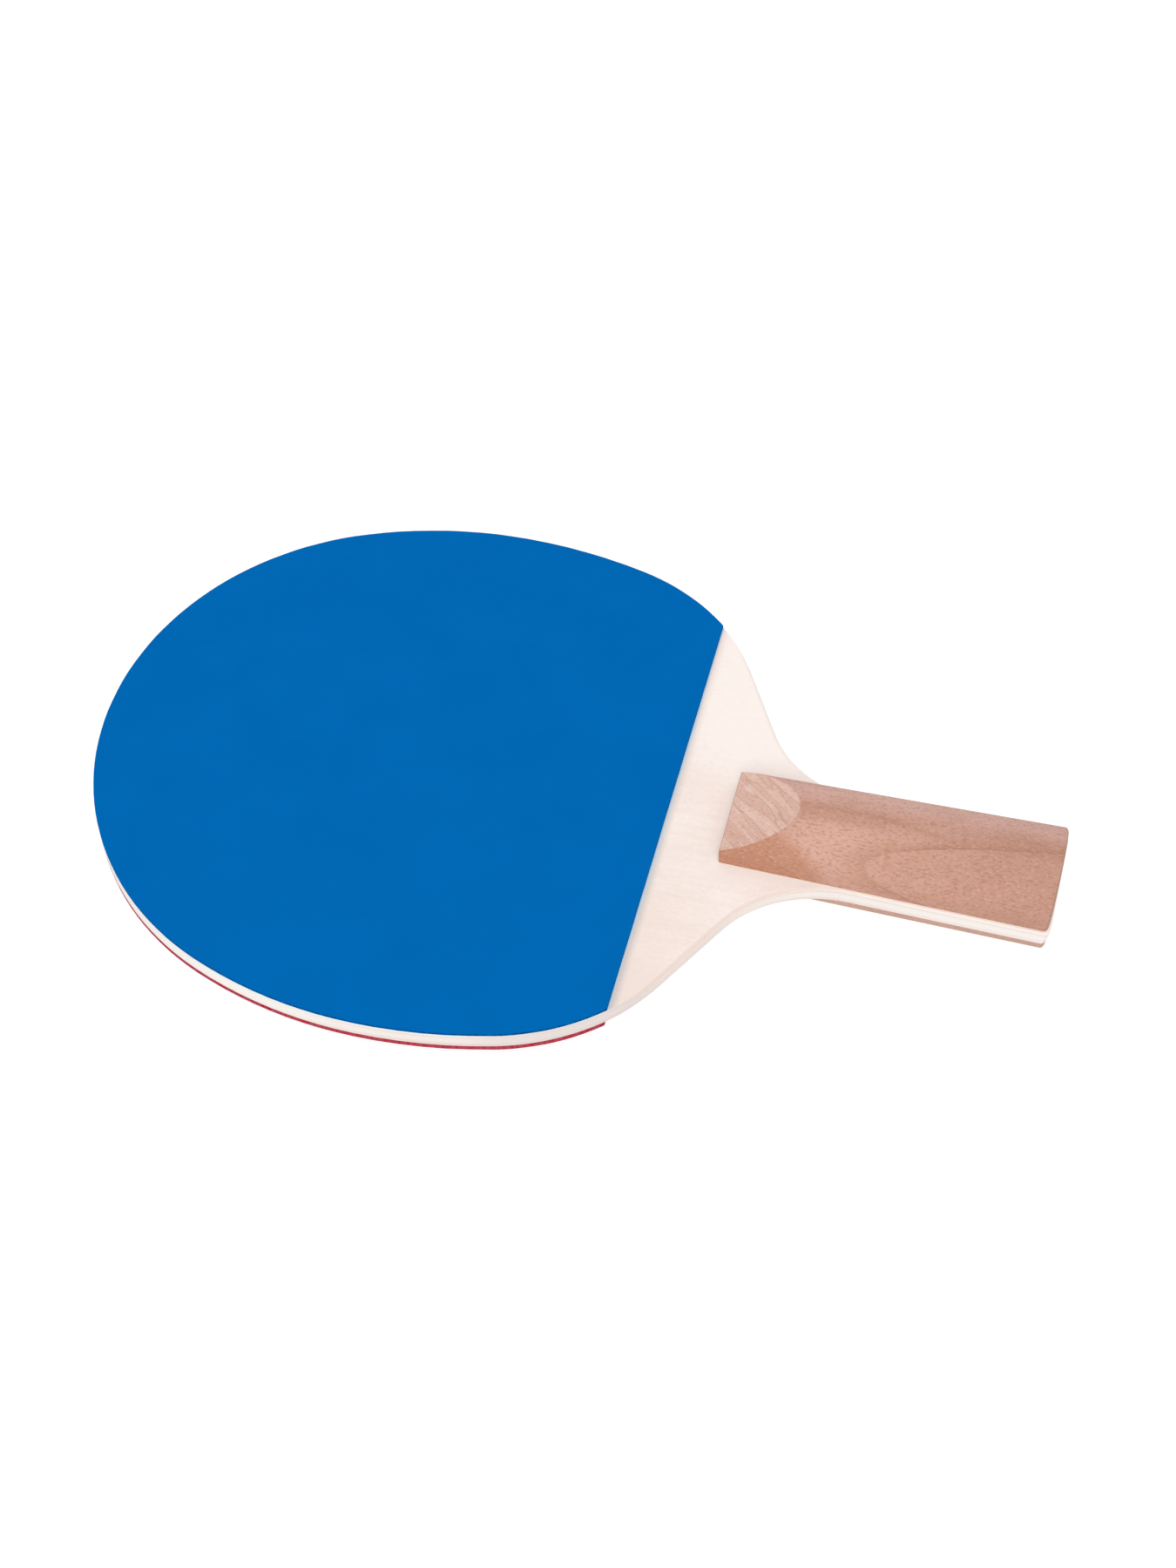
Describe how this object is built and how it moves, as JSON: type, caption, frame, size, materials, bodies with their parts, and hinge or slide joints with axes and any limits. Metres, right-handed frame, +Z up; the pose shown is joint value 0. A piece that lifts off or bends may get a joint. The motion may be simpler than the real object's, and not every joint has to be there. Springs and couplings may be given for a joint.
{
  "type": "table tennis bat",
  "caption": "Short-handled table tennis bat: a rounded plywood blade with rubber sheets glued to both sides and bevelled wooden handle scales.",
  "frame": {"origin": "under the middle of the bat, at the height of the lower handle scale's crown", "axes": "+X along the bat from the toe of the head to the butt of the handle, +Y across the head, +Z up from the red side to the blue side"},
  "size_m": [0.2332, 0.15, 0.0242],
  "materials": {
    "core_veneer": "sanded, unvarnished",
    "cross_veneer": "sanded, unvarnished",
    "face_veneer": "sanded, unvarnished",
    "blue_rubber": "smooth matt",
    "red_rubber": "smooth matt",
    "handle_wood": "sanded, satin"
  },
  "bodies": {
    "root": {"core_ply": "core_veneer", "upper_cross_ply": "cross_veneer", "lower_cross_ply": "cross_veneer", "upper_face_ply": "face_veneer", "lower_face_ply": "face_veneer", "upper_rubber_sheet": "blue_rubber", "lower_rubber_sheet": "red_rubber", "upper_handle_scale": "handle_wood", "lower_handle_scale": "handle_wood"}
  },
  "joints": []
}
